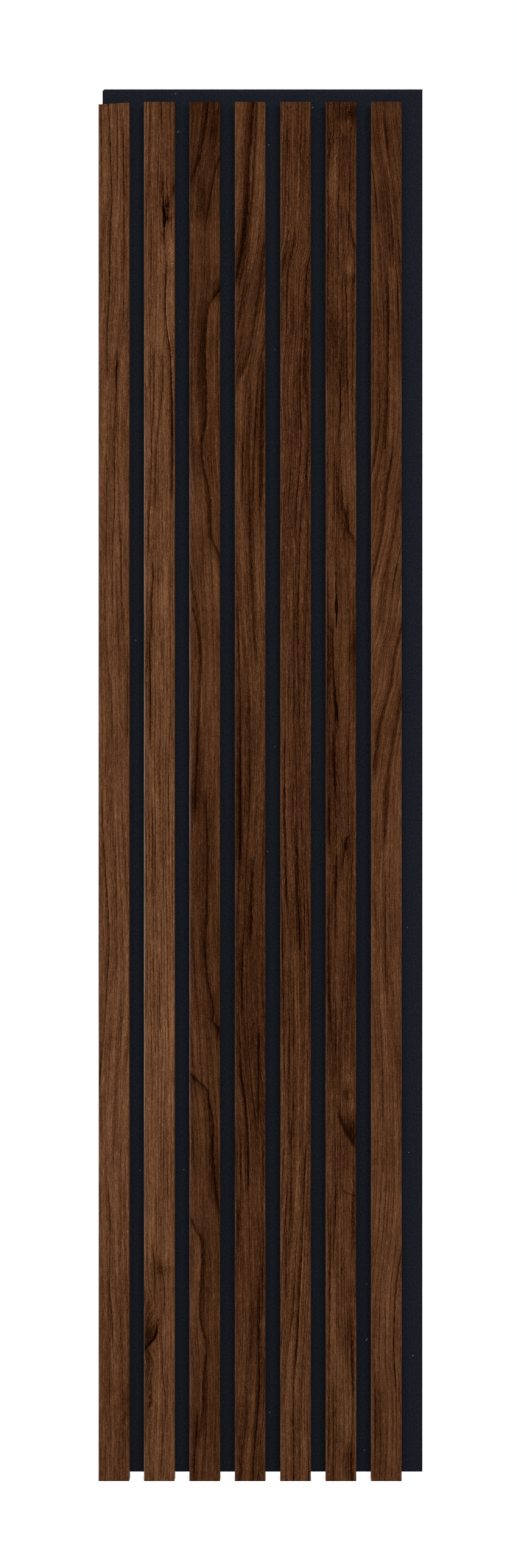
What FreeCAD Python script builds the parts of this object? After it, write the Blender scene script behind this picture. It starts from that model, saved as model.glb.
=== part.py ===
import FreeCAD, Part
import os
import Sketcher

# Acoustic slat wall panel: veneered slats, glued and stapled to a felt board.
# Millimetres: X runs across the slats, Z up along them and Y into the wall.
# The origin is the middle of the felt's back face, which lies on the wall.

# Driving dimensions: alias, value, meaning
SIZES = [
    ("slat_count", 7, "slats, side by side"),
    ("slat_width", 27.0, "slat's face, side to side"),
    ("slat_thickness", 12.0, "slat, back to face"),
    ("slat_length", 1215.0, "slat, end to end"),
    ("slat_gap", 13.0, "groove between two slats"),
    ("slat_arris", 0.6, "radius of a slat's two front long edges"),
    ("skew_left", 2.2, "first slat's top end below the others, left side"),
    ("skew_right", 0.6, "first slat's top end below the others, right side"),
    ("felt_thickness", 9.0, "felt board, back to front"),
    ("left_overhang", 2.5, "first slat beyond the felt's left edge"),
    ("right_margin", 19.0, "felt beyond the last slat"),
    ("top_margin", 15.0, "felt above the slats"),
    ("bottom_overhang", 4.5, "slats below the felt"),
    ("felt_corner", 1.6, "cut at the felt's top left corner"),
    ("staple_rows", 5, "staples along each slat"),
    ("staple_end_margin", 60.0, "slat's end to its nearest staple"),
    ("staple_width", 10.0, "staple's crown, outside"),
    ("staple_bend", 0.6, "outer radius between crown and leg"),
    ("wire_width", 1.2, "staple wire, flat side"),
    ("wire_thickness", 0.6, "staple wire, thin side"),
    ("crown_recess", 0.4, "crown below the felt's back face"),
    ("leg_bite", 5.0, "leg's depth in its slat"),
    ("staple_clearance", 0.05, "room around the wire in its slots"),
]

# Lengths worked out from the sheet
PITCH = "(Sizes.slat_width + Sizes.slat_gap)"
LAST_PITCHES = "(Sizes.slat_count - 1)"
FIELD_WIDTH = f"({PITCH} * {LAST_PITCHES} + Sizes.slat_width)"
FELT_WIDTH = f"({FIELD_WIDTH} - Sizes.left_overhang + Sizes.right_margin)"
FELT_HEIGHT = "(Sizes.slat_length - Sizes.bottom_overhang + Sizes.top_margin)"
FELT_LEFT = f"(-{FELT_WIDTH} / 2)"
FELT_BOTTOM = f"(-{FELT_HEIGHT} / 2)"
SLATS_LEFT = f"({FELT_LEFT} - Sizes.left_overhang)"
SLATS_BOTTOM = f"({FELT_BOTTOM} - Sizes.bottom_overhang)"
ROW_SPAN = "(Sizes.slat_length - 2 * Sizes.staple_end_margin)"
STAPLE_HALF = "(Sizes.staple_width / 2)"
LEG_INSIDE = f"({STAPLE_HALF} - Sizes.wire_thickness)"
LEG_LENGTH = "(Sizes.felt_thickness - Sizes.crown_recess + Sizes.leg_bite)"
CROWN_DEPTH = "(Sizes.crown_recess + Sizes.wire_thickness + Sizes.staple_clearance)"
SLOT_HALF = "(Sizes.wire_width / 2 + Sizes.staple_clearance)"


def make_sheet(doc):
    """Spreadsheet with one named cell for each driving dimension."""
    sheet = doc.addObject("Spreadsheet::Sheet", "Sizes")
    for row, (alias, value, meaning) in enumerate(SIZES, start=1):
        sheet.set(f"A{row}", alias)
        sheet.set(f"B{row}", str(value))
        sheet.set(f"C{row}", meaning)
        sheet.setAlias(f"B{row}", alias)
    doc.recompute()
    return sheet


def origin_feature(body, role):
    """Plane or axis of the body's own origin."""
    return next(item for item in body.Origin.OriginFeatures if item.Role == role)


def new_body(doc, label, place):
    """Body with its label and with its place bound to the sheet."""
    body = doc.addObject("PartDesign::Body", label)
    body.Label = label
    for axis, expression in zip("xyz", place):
        body.setExpression(f"Placement.Base.{axis}", expression)
    return body


def new_sketch(body, name, plane):
    """Empty sketch on one of the body's origin planes."""
    sketch = body.newObject("Sketcher::SketchObject", name)
    sketch.AttachmentSupport = (origin_feature(body, plane), "")
    sketch.MapMode = "FlatFace"
    return sketch


def draw_outline(sketch, sheet, corners):
    """Closed outline, each corner held at a place worked out from the sheet."""
    points = []
    for across, up in corners:
        points.append(FreeCAD.Vector(sheet.evalExpression(across), sheet.evalExpression(up), 0))
    first = sketch.GeometryCount
    for start, end in zip(points, points[1:] + points[:1]):
        sketch.addGeometry(Part.LineSegment(start, end))
    for number, (across, up) in enumerate(corners):
        line = first + number
        before = first + (number - 1) % len(corners)
        sketch.addConstraint(Sketcher.Constraint("Coincident", before, 2, line, 1))
        for kind, expression in (("DistanceX", across), ("DistanceY", up)):
            value = sheet.evalExpression(expression)
            held = sketch.addConstraint(Sketcher.Constraint(kind, -1, 1, line, 1, value))
            sketch.setExpression(f"Constraints[{held}]", expression)


def draw_rectangle(sketch, sheet, left, right, bottom, top):
    """Rectangle between four places worked out from the sheet."""
    corners = [(left, bottom), (right, bottom), (right, top), (left, top)]
    draw_outline(sketch, sheet, corners)


def pad(body, name, sketch, length, midplane=False):
    """Solid from the sketch, along its normal or to both sides of it."""
    feature = body.newObject("PartDesign::Pad", name)
    feature.Profile = sketch
    feature.setExpression("Length", length)
    feature.SideType = "Symmetric" if midplane else "One side"
    return feature


def pocket(body, name, sketch, depth):
    """Cut from the sketch towards -Y, checked to take material away."""
    before = body.Tip
    feature = body.newObject("PartDesign::Pocket", name)
    feature.Profile = sketch
    feature.setExpression("Length", depth)
    feature.Reversed = True
    body.Document.recompute()
    if not feature.Shape.Volume < before.Shape.Volume:
        raise RuntimeError(f"{body.Label} {name} cuts nothing")
    return feature


def repeat_in_rows(body, originals):
    """Copies of features up the length, one for each row of staples."""
    pattern = body.newObject("PartDesign::LinearPattern", "StapleRows")
    pattern.Originals = originals
    pattern.Direction = (origin_feature(body, "Z_Axis"), [""])
    pattern.setExpression("Length", ROW_SPAN)
    pattern.setExpression("Occurrences", "Sizes.staple_rows")
    body.Tip = pattern
    return pattern


def repeat_over_slats(pattern, body):
    """Second direction of a pattern, one column for each slat."""
    pattern.Direction2 = (origin_feature(body, "X_Axis"), [""])
    pattern.setExpression("Length2", f"{PITCH} * {LAST_PITCHES}")
    pattern.setExpression("Occurrences2", "Sizes.slat_count")


def leg_slots(body, sheet, middle, row, depth):
    """Pocket for the two legs of one staple, around a middle and a row height."""
    sketch = new_sketch(body, "LegSlotSketch", "XZ_Plane")
    bottom = f"{row} - {SLOT_HALF}"
    top = f"{row} + {SLOT_HALF}"
    outside = f"({STAPLE_HALF} + Sizes.staple_clearance)"
    inside = f"({LEG_INSIDE} - Sizes.staple_clearance)"
    draw_rectangle(sketch, sheet, f"{middle} - {outside}", f"{middle} - {inside}", bottom, top)
    draw_rectangle(sketch, sheet, f"{middle} + {inside}", f"{middle} + {outside}", bottom, top)
    return pocket(body, "LegSlots", sketch, depth)


def long_edges(shape, depth):
    """Names of the edges along Z whose middle lies at a depth in Y."""
    names = []
    for number, edge in enumerate(shape.Edges, start=1):
        start, end = edge.Vertexes[0].Point, edge.Vertexes[-1].Point
        along = abs(start.x - end.x) < 1e-6 and abs(start.y - end.y) < 1e-6
        if along and abs(start.y - depth) < 1e-6:
            names.append(f"Edge{number}")
    return names


def make_felt(doc, sheet):
    """Felt board with a cut corner and a slotted seat for every staple."""
    body = new_body(doc, "felt_backing", (FELT_LEFT, "0", FELT_BOTTOM))
    outline = new_sketch(body, "BoardSketch", "XZ_Plane")
    corners = [
        ("0", "0"),
        (FELT_WIDTH, "0"),
        (FELT_WIDTH, FELT_HEIGHT),
        ("Sizes.felt_corner", FELT_HEIGHT),
        ("0", f"{FELT_HEIGHT} - Sizes.felt_corner"),
    ]
    draw_outline(outline, sheet, corners)
    pad(body, "Board", outline, "Sizes.felt_thickness")
    doc.recompute()

    middle = "(Sizes.slat_width / 2 - Sizes.left_overhang)"
    row = "(Sizes.staple_end_margin - Sizes.bottom_overhang)"
    reach = f"({STAPLE_HALF} + Sizes.staple_clearance)"
    seat = new_sketch(body, "CrownSeatSketch", "XZ_Plane")
    draw_rectangle(
        seat, sheet,
        f"{middle} - {reach}", f"{middle} + {reach}",
        f"{row} - {SLOT_HALF}", f"{row} + {SLOT_HALF}",
    )
    crown_seat = pocket(body, "CrownSeat", seat, CROWN_DEPTH)
    slots = leg_slots(body, sheet, middle, row, "Sizes.felt_thickness")
    pattern = repeat_in_rows(body, [crown_seat, slots])
    repeat_over_slats(pattern, body)
    return body


def make_slat(doc, sheet, number):
    """One slat, face forward, with slots for its staples in the back."""
    left = f"{SLATS_LEFT} + {PITCH} * {number - 1}"
    body = new_body(doc, f"slat_{number}", (left, "-Sizes.felt_thickness", SLATS_BOTTOM))
    section = new_sketch(body, "SectionSketch", "XY_Plane")
    draw_rectangle(section, sheet, "0", "Sizes.slat_width", "-Sizes.slat_thickness", "0")
    strip = pad(body, "Strip", section, "Sizes.slat_length")
    doc.recompute()

    arris = body.newObject("PartDesign::Fillet", "FrontArrises")
    arris.Base = (strip, long_edges(strip.Shape, -sheet.slat_thickness))
    arris.setExpression("Radius", "Sizes.slat_arris")
    doc.recompute()

    if number == 1:
        trim_top(body, sheet)
    slots = leg_slots(
        body, sheet, "Sizes.slat_width / 2", "Sizes.staple_end_margin",
        "Sizes.leg_bite + Sizes.staple_clearance",
    )
    repeat_in_rows(body, [slots])
    return body


def trim_top(body, sheet):
    """Top end cut a little short and out of square."""
    offcut = new_sketch(body, "TopTrimSketch", "XZ_Plane")
    corners = [
        ("0", "Sizes.slat_length - Sizes.skew_left"),
        ("Sizes.slat_width", "Sizes.slat_length - Sizes.skew_right"),
        ("Sizes.slat_width", "Sizes.slat_length"),
        ("0", "Sizes.slat_length"),
    ]
    draw_outline(offcut, sheet, corners)
    pocket(body, "TopTrim", offcut, "Sizes.slat_thickness")


def make_staples(doc, sheet):
    """All staples: flat wire bent square, crown to the back and legs forward."""
    place = (
        f"{SLATS_LEFT} + Sizes.slat_width / 2",
        "-Sizes.crown_recess",
        f"{SLATS_BOTTOM} + Sizes.staple_end_margin",
    )
    body = new_body(doc, "staples", place)
    profile = new_sketch(body, "WireSketch", "XY_Plane")
    tip = f"-{LEG_LENGTH}"
    corners = [
        (f"-{STAPLE_HALF}", "0"),
        (f"-{STAPLE_HALF}", tip),
        (f"-{LEG_INSIDE}", tip),
        (f"-{LEG_INSIDE}", "-Sizes.wire_thickness"),
        (LEG_INSIDE, "-Sizes.wire_thickness"),
        (LEG_INSIDE, tip),
        (STAPLE_HALF, tip),
        (STAPLE_HALF, "0"),
    ]
    draw_outline(profile, sheet, corners)
    wire = pad(body, "Wire", profile, "Sizes.wire_width", midplane=True)
    doc.recompute()

    bends = body.newObject("PartDesign::Fillet", "CrownBends")
    bends.Base = (wire, long_edges(wire.Shape, 0))
    bends.setExpression("Radius", "Sizes.staple_bend")
    doc.recompute()

    pattern = repeat_in_rows(body, [])
    pattern.TransformMode = "Whole shape"
    repeat_over_slats(pattern, body)
    return body


def check_document(doc, sub_parts):
    """Stop if a feature failed or a sub-part has no sound shape."""
    for item in doc.Objects:
        if "Invalid" in item.State or "Error" in item.State:
            raise RuntimeError(f"{item.Label} failed: {item.State}")
    for body in sub_parts:
        if body.Shape.isNull() or not body.Shape.isValid():
            raise RuntimeError(f"{body.Label} has no sound shape")


def main():
    """Build the panel and write each sub-part to its own file."""
    doc = FreeCAD.newDocument("AcousticSlatPanel")
    sheet = make_sheet(doc)
    sub_parts = [make_felt(doc, sheet)]
    for number in range(1, int(sheet.slat_count) + 1):
        sub_parts.append(make_slat(doc, sheet, number))
    sub_parts.append(make_staples(doc, sheet))
    doc.recompute()
    check_document(doc, sub_parts)
    os.makedirs("parts", exist_ok=True)
    for body in sub_parts:
        body.Shape.exportStep(f"parts/{body.Label}.step")


main()
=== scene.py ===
"""Looks of an acoustic slat wall panel: veneered slats, pressed felt and steel staples."""

import logging
import math
from collections.abc import Callable, Iterator
from contextlib import contextmanager
from dataclasses import dataclass, field
from enum import Enum
from typing import Any

import bmesh
import bpy
import numpy as np
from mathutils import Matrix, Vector, noise


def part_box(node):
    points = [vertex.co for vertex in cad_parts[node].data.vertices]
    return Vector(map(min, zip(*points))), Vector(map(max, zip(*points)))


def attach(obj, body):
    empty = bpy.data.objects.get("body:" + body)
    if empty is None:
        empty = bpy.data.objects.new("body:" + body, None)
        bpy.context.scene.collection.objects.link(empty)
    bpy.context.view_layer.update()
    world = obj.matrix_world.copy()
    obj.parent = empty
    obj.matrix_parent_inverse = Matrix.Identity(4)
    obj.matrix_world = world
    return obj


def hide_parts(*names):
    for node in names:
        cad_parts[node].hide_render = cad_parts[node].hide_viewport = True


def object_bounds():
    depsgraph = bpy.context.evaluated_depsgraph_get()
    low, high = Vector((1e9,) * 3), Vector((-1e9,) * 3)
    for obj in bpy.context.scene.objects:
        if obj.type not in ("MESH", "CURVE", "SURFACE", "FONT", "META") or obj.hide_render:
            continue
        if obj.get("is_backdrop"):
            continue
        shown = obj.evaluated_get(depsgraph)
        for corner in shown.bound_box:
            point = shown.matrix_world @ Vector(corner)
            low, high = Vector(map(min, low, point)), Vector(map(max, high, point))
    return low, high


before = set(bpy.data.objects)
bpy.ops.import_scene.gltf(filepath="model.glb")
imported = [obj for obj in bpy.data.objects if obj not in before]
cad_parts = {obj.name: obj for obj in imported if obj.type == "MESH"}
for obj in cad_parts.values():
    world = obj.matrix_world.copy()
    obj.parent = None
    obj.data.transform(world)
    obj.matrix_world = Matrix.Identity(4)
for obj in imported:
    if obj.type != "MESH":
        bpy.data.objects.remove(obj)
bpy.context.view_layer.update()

LOG = logging.getLogger("slat_panel")
MM = 0.001
# Places this near each other, in metres, are the same place.
NEAR = 1e-6
# A face points along an axis when this much of its normal does.
FACING = 0.9
# Growth lines are kept in groups of vector attributes, each with a lane for X, Y and Z.
SEAM_GROUPS = 2
LANES = 3

Tree = bpy.types.NodeTree
Socket = bpy.types.NodeSocket
Line = tuple[tuple[float, float], ...]
Stops = tuple[tuple[float, str], ...]
Stretches = list[tuple[float, float]]


def linear(colour: str) -> tuple[float, float, float, float]:
    """Turn an sRGB hex colour to linear light.

    Args:
        colour: Six hex digits after a hash.

    Returns:
        Red, green, blue and an alpha of 1.
    """
    parts = [int(colour[at:at + 2], 16) / 255 for at in (1, 3, 5)]
    red, green, blue = (
        part / 12.92 if part <= 0.04045 else ((part + 0.055) / 1.055) ** 2.4 for part in parts
    )
    return red, green, blue, 1.0


def add_node(
    tree: Tree, kind: str, links: dict[str | int, Any] | None = None, stops: Stops = (), **settings: Any
) -> bpy.types.Node:
    """Add a shader node with its settings, input values and links.

    Args:
        tree: Node tree that gets the node.
        kind: Type name after "ShaderNode".
        links: Input socket to a value, or to an output socket to link.
        stops: Places and hex colours of a colour ramp.
        settings: Properties of the node.

    Returns:
        The new node.
    """
    node = tree.nodes.new("ShaderNode" + kind)
    for name, value in settings.items():
        setattr(node, name, value)
    for number, (place, colour) in enumerate(stops):
        # A new ramp has two stops already.
        elements = node.color_ramp.elements
        element = elements[number] if number < 2 else elements.new(place)
        element.position = place
        element.color = linear(colour)
    for name, value in (links or {}).items():
        if isinstance(value, Socket):
            tree.links.new(value, node.inputs[name])
        else:
            node.inputs[name].default_value = value
    return node


def add_up(tree: Tree, level: Socket | float, *layers: tuple[Socket, Socket | float]) -> Socket:
    """Add layers to a level, each times its weight.

    Args:
        tree: The material's node tree.
        level: What the layers are added to.
        layers: Each layer with its weight.

    Returns:
        The sum.
    """
    for layer, weight in layers:
        level = add_node(tree, "Math", {0: layer, 1: weight, 2: level}, operation="MULTIPLY_ADD").outputs[0]
    return level


def new_material(name: str) -> tuple[bpy.types.Material, Tree]:
    """Make an empty node material.

    Args:
        name: The material's name.

    Returns:
        The material and its node tree.
    """
    material = bpy.data.materials.new(name)
    material.use_nodes = True
    material.node_tree.nodes.clear()
    return material, material.node_tree


def smooth_line(points: Line, at: np.ndarray) -> np.ndarray:
    """Follow a smooth line through given points.

    Args:
        points: Pairs of distance down the slat and the value there.
        at: Distances down the slat to read.

    Returns:
        The value at each distance, level beyond both ends.
    """
    down = np.array([point[0] for point in points], float)
    value = np.array([point[1] for point in points], float)
    if len(points) == 1:
        return np.full_like(at, value[0])
    slope = np.gradient(value, down)
    inside = np.clip(at, down[0], down[-1])
    left = np.clip(np.searchsorted(down, inside, side="right") - 1, 0, len(down) - 2)
    right = left + 1
    span = down[right] - down[left]
    part = (inside - down[left]) / span
    rest = 1 - part
    start = rest ** 2 * ((1 + 2 * part) * value[left] + part * span * slope[left])
    end = part ** 2 * ((1 + 2 * rest) * value[right] - rest * span * slope[right])
    return start + end


def select_only(*objects: bpy.types.Object) -> None:
    """Select some objects and nothing else.

    Args:
        objects: The objects, the first of which becomes the active one.
    """
    bpy.ops.object.select_all(action="DESELECT")
    for obj in objects:
        obj.select_set(True)
    bpy.context.view_layer.objects.active = objects[0]


@contextmanager
def editing(obj: bpy.types.Object) -> Iterator[None]:
    """Work on one object's mesh in edit mode, with nothing else selected.

    Args:
        obj: The object.

    Yields:
        Nothing, while the object is in edit mode.
    """
    select_only(obj)
    bpy.ops.object.mode_set(mode="EDIT")
    yield
    bpy.ops.object.mode_set(mode="OBJECT")


class Element(Enum):
    """Kind of mesh element that an operator works on."""

    VERT = "verts"
    EDGE = "edges"
    FACE = "faces"


def pick(obj: bpy.types.Object, element: Element, test: Callable[[Any], bool]) -> int:
    """Select the mesh elements that pass a test, and no others.

    Args:
        obj: Object in edit mode.
        element: Kind of element to test.
        test: Says whether an element is picked.

    Returns:
        How many were picked.
    """
    bpy.ops.mesh.select_mode(type=element.name)
    bpy.ops.mesh.select_all(action="DESELECT")
    mesh = bmesh.from_edit_mesh(obj.data)
    count = 0
    for item in getattr(mesh, element.value):
        if test(item):
            item.select_set(True)
            count += 1
    bmesh.update_edit_mesh(obj.data)
    return count


@dataclass(frozen=True)
class Span:
    """A range of values, and the two values that its ends turn to."""

    start: float = 0.0
    end: float = 1.0
    low: float = 0.0
    high: float = 1.0

    def of(self, value: Socket) -> dict[str | int, Any]:
        """Give the inputs of a node that maps a value by this range."""
        ends = {"From Min": self.start, "From Max": self.end, "To Min": self.low, "To Max": self.high}
        return {"Value": value, **ends}


@dataclass(frozen=True)
class Grain:
    """Noise drawn out along the wood: its width and length in mm, detail, and weight in what it changes."""

    width: float
    length: float
    detail: float
    weight: float = 1.0
    roughness: float = 0.6

    def add(self, tree: Tree, place: Socket) -> Socket:
        """Add the noise to a material.

        Args:
            tree: The material's node tree.
            place: Place across and down the wood, in mm.

        Returns:
            The noise's value, about 0.5.
        """
        size = (1 / self.width, 1 / self.length, 1.0)
        drawn_out = add_node(tree, "VectorMath", {0: place, 1: size}, operation="MULTIPLY").outputs[0]
        inputs = {"Vector": drawn_out, "Scale": 1.0, "Detail": self.detail, "Roughness": self.roughness}
        return add_node(tree, "TexNoise", inputs).outputs[0]

    def swing(self, tree: Tree, place: Socket) -> Socket:
        """Add the noise as a swing to both sides of zero, as far as its weight."""
        both_ways = Span(low=-self.weight, high=self.weight)
        return add_node(tree, "MapRange", both_ways.of(self.add(tree, place))).outputs[0]


@dataclass(frozen=True)
class Wood:
    """What the layers of a veneer read: its node tree, the place in its grain, and what they share."""

    tree: Tree
    place: Socket
    ragged: Socket
    strand: Socket
    curl: Socket


@dataclass(frozen=True)
class WalnutVeneer:
    """Dark walnut veneer, sliced, smoked and matt lacquered.

    The eye sees short fine fibres and pores, thin growth lines that wander, soft bands, a few strong lines
    with one sharp side, and only a dull shine. All of it reads the slat's own attributes, in mm round its
    girth and down its length, so that it wraps round the arrises.
    """

    palette: Stops = (
        (0.0, "#0a0200"), (0.12, "#210d03"), (0.21, "#2c1508"), (0.36, "#402413"), (0.52, "#55341f"),
        (0.68, "#69452c"), (0.82, "#7b5339"), (1.0, "#936748"),
    )
    # Pale colour laid on the left arris: partly wear, partly a painted highlight.
    worn_and_lit: str = "#a88f82"
    gloss: str = "#ff9a69"
    specular: float = 0.05
    dullness: Span = Span(low=0.70, high=0.50)
    bump: float = 0.35
    relief: float = 0.25 * MM
    # Slow and quick bends of the grain, and the sway of rippled grain.
    wander: tuple[Grain, ...] = (Grain(40.0, 150.0, 1.0, 1.8), Grain(9.0, 20.0, 2.0, 0.3))
    sway: Grain = Grain(5.0, 5.5, 1.0, 3.0)
    # Specks, silky fibres, bands and clouds, and the long strands that also break up lines and the wear
    # and painted highlight of the left arris.
    fibres: tuple[Grain, ...] = (
        Grain(0.45, 1.2, 1.0, 0.66), Grain(0.48, 6.0, 2.0, 0.60), Grain(4.0, 190.0, 2.0, 0.48),
        Grain(9.0, 45.0, 1.0, 0.24),
    )
    strand: Grain = Grain(0.60, 50.0, 2.0, 0.66)
    ragged: Grain = Grain(0.50, 5.0, 2.0, 1.5)
    ring: Grain = Grain(14.0, 500.0, 1.0, 5.0)
    ring_fray: float = 0.12
    ring_profile: Stops = (
        (0.0, "#000000"), (0.50, "#484848"), (0.78, "#888888"), (0.89, "#ffffff"), (0.94, "#ffffff"),
        (1.0, "#000000"),
    )
    fading: Grain = Grain(5.0, 90.0, 1.0)
    ring_shown: Span = Span(0.35, 0.6, -0.3, -1.5)
    pore: Grain = Grain(0.50, 10.0, 2.0, -0.10)
    pore_crowding: float = -0.12
    pore_shown: Span = Span(0.58, 0.72)
    gleam: Grain = Grain(0.46, 8.0, 2.0, 0.26)
    gleam_shown: Span = Span(0.56, 0.74)
    fleck_slope: float = 0.9
    fleck_pitch: float = 2.5
    fleck_fray: float = 2.0
    fleck_shown: Span = Span(0.5, 1.0, 0.0, 0.16)
    line_reach: Span = Span(-6.0, 2.0)
    line_profile: Stops = (
        (0.0, "#000000"), (0.35, "#6a6a6a"), (0.55, "#a0a0a0"), (0.67, "#d2d2d2"), (0.73, "#ffffff"),
        (0.79, "#ffffff"), (0.90, "#000000"),
    )
    line_shown: Span = Span(0.3, 0.7, -0.7, -1.3)
    wear_and_highlight_shown: Span = Span(0.3, 0.62)

    def material(self) -> bpy.types.Material:
        """Make the veneer's material, shared by all slats.

        Returns:
            The material.
        """
        material, tree = new_material("walnut_veneer_matt_lacquer")
        tone, wear = (
            add_node(tree, "Attribute", attribute_name=name).outputs["Fac"] for name in ("tone", "wear")
        )
        grain, rings = (
            add_node(tree, "Attribute", attribute_name=name).outputs["Vector"] for name in ("grain", "rings")
        )
        rate, strength, curl = add_node(tree, "SeparateXYZ", {0: rings}).outputs
        place = self.bend_grain(tree, grain, curl)
        wood = Wood(tree, place, self.ragged.swing(tree, place), self.strand.add(tree, place), curl)
        level = self.add_fibres(wood, tone)
        level = self.add_rings(wood, level, rate, strength)
        level = self.add_flecks(wood, level)
        level = self.add_lines(wood, level)
        self.lacquer(wood, level, wear)
        return material

    def bend_grain(self, tree: Tree, place: Socket, curl: Socket) -> Socket:
        """Let the grain wander and quiver on its way down the slat, and sway where it is rippled.

        Args:
            tree: The material's node tree.
            place: Place across and down the straight grain, in mm.
            curl: How rippled the grain is, from 0 to 1.

        Returns:
            The place in the bent grain.
        """
        for grain, share in [(grain, 1.0) for grain in self.wander] + [(self.sway, curl)]:
            swing = {0: grain.swing(tree, place), 1: share}
            shift = add_node(tree, "Math", swing, operation="MULTIPLY").outputs[0]
            move = add_node(tree, "CombineXYZ", {"X": shift}).outputs[0]
            place = add_node(tree, "VectorMath", {0: place, 1: move}, operation="ADD").outputs[0]
        return place

    def add_fibres(self, wood: Wood, tone: Socket) -> Socket:
        """Vary the slat's own tone by fine and coarse fibres.

        Args:
            wood: What the layers read.
            tone: The slat's tone.

        Returns:
            The tone with its fibres.
        """
        layers = [(grain.add(wood.tree, wood.place), grain.weight) for grain in self.fibres]
        layers.append((wood.strand, self.strand.weight))
        middle = 0.5 * sum(weight for _, weight in layers)
        level = add_node(wood.tree, "Math", {0: tone, 1: middle}, operation="SUBTRACT").outputs[0]
        return add_up(wood.tree, level, *layers)

    def add_rings(self, wood: Wood, level: Socket, rate: Socket, strength: Socket) -> Socket:
        """Add growth rings, which darken slowly and end in a thin ragged line where the pores crowd.

        Args:
            wood: What the layers read.
            level: The tone so far.
            rate: Rings in each millimetre across.
            strength: How dark a ring ends.

        Returns:
            The tone with its rings, pores and pale gleams.
        """
        tree, place = wood.tree, wood.place
        across = add_node(tree, "SeparateXYZ", {0: place}).outputs[0]
        bowed = self.ring.add(tree, place)
        turns = add_up(tree, 0.0, (wood.ragged, self.ring_fray), (bowed, self.ring.weight), (across, rate))
        part = add_node(tree, "Math", {0: turns}, operation="FRACT").outputs[0]
        ring = add_node(tree, "ValToRGB", {"Fac": part}, self.ring_profile).outputs[0]
        shown = add_node(tree, "MapRange", self.ring_shown.of(self.fading.add(tree, place))).outputs[0]
        late = add_node(tree, "Math", {0: ring, 1: shown}, operation="MULTIPLY").outputs[0]
        crowd = add_up(tree, self.pore.add(tree, place), (late, self.pore_crowding))
        pores = add_node(tree, "MapRange", self.pore_shown.of(crowd)).outputs[0]
        gleams = add_node(tree, "MapRange", self.gleam_shown.of(self.gleam.add(tree, place))).outputs[0]
        return add_up(tree, level, (late, strength), (pores, self.pore.weight), (gleams, self.gleam.weight))

    def add_flecks(self, wood: Wood, level: Socket) -> Socket:
        """Let strongly rippled grain catch the light in broken slanting flecks.

        Args:
            wood: What the layers read.
            level: The tone so far.

        Returns:
            The tone with its flecks.
        """
        turn = math.tau / self.fleck_pitch
        slant = {0: wood.place, 1: (self.fleck_slope * turn, turn, 0.0)}
        wave = add_node(wood.tree, "VectorMath", slant, operation="DOT_PRODUCT").outputs["Value"]
        torn = add_up(wood.tree, wave, (wood.ragged, self.fleck_fray))
        fleck = add_node(wood.tree, "Math", {0: torn}, operation="SINE").outputs[0]
        bright = add_node(wood.tree, "MapRange", self.fleck_shown.of(wood.curl)).outputs[0]
        return add_up(wood.tree, level, (fleck, bright))

    def add_lines(self, wood: Wood, level: Socket) -> Socket:
        """Add the strong growth lines: ragged, broken along the fibres, soft on the left, sharp on the right.

        Args:
            wood: What the layers read.
            level: The tone so far.

        Returns:
            The tone with its lines.
        """
        tree = wood.tree
        broken = add_node(tree, "MapRange", self.line_shown.of(wood.strand)).outputs[0]
        for group in range(SEAM_GROUPS):
            lanes = []
            for name in (f"seam_{group}", f"seam_depth_{group}"):
                vector = add_node(tree, "Attribute", attribute_name=name).outputs["Vector"]
                lanes.append(add_node(tree, "SeparateXYZ", {0: vector}).outputs)
            for aside, depth in zip(*lanes):
                torn = add_node(tree, "Math", {0: aside, 1: wood.ragged}, operation="ADD").outputs[0]
                part = add_node(tree, "MapRange", self.line_reach.of(torn)).outputs[0]
                line = add_node(tree, "ValToRGB", {"Fac": part}, self.line_profile).outputs[0]
                dark = add_node(tree, "Math", {0: line, 1: depth}, operation="MULTIPLY").outputs[0]
                level = add_up(tree, level, (dark, broken))
        return level

    def lacquer(self, wood: Wood, level: Socket, wear: Socket) -> None:
        """Colour the tone, pale the left arris by wear and a painted highlight, and give the surface its dull
        shine.

        Args:
            wood: What the layers read.
            level: The finished tone.
            wear: How pale the left arris is, partly by wear and partly by a painted highlight.
        """
        tree = wood.tree
        colour = add_node(tree, "ValToRGB", {"Fac": level}, self.palette).outputs[0]
        # The left arris turns pale, broken by strands: partly wear, partly a painted highlight.
        bare_and_lit = add_node(tree, "MapRange", self.wear_and_highlight_shown.of(wood.strand)).outputs[0]
        rubbed_and_lit = add_node(tree, "Math", {0: wear, 1: bare_and_lit}, operation="MULTIPLY").outputs[0]
        # A Mix node's colours are its inputs 6 and 7 and its output 2.
        colours = {"Factor": rubbed_and_lit, 6: colour, 7: linear(self.worn_and_lit)}
        dressed = add_node(tree, "Mix", colours, data_type="RGBA").outputs[2]
        height = {"Height": level, "Strength": self.bump, "Distance": self.relief}
        surface = {
            "Base Color": dressed,
            "Roughness": add_node(tree, "MapRange", self.dullness.of(level)).outputs[0],
            "Normal": add_node(tree, "Bump", height).outputs[0],
            "Specular IOR Level": self.specular,
            "Specular Tint": linear(self.gloss),
        }
        shader = add_node(tree, "BsdfPrincipled", surface).outputs[0]
        add_node(tree, "OutputMaterial", {"Surface": shader})


@dataclass(frozen=True)
class Fleck:
    """Fine noise in a surface: its size in metres, its detail and its twist."""

    size: float
    detail: float
    twist: float = 0.0


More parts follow.
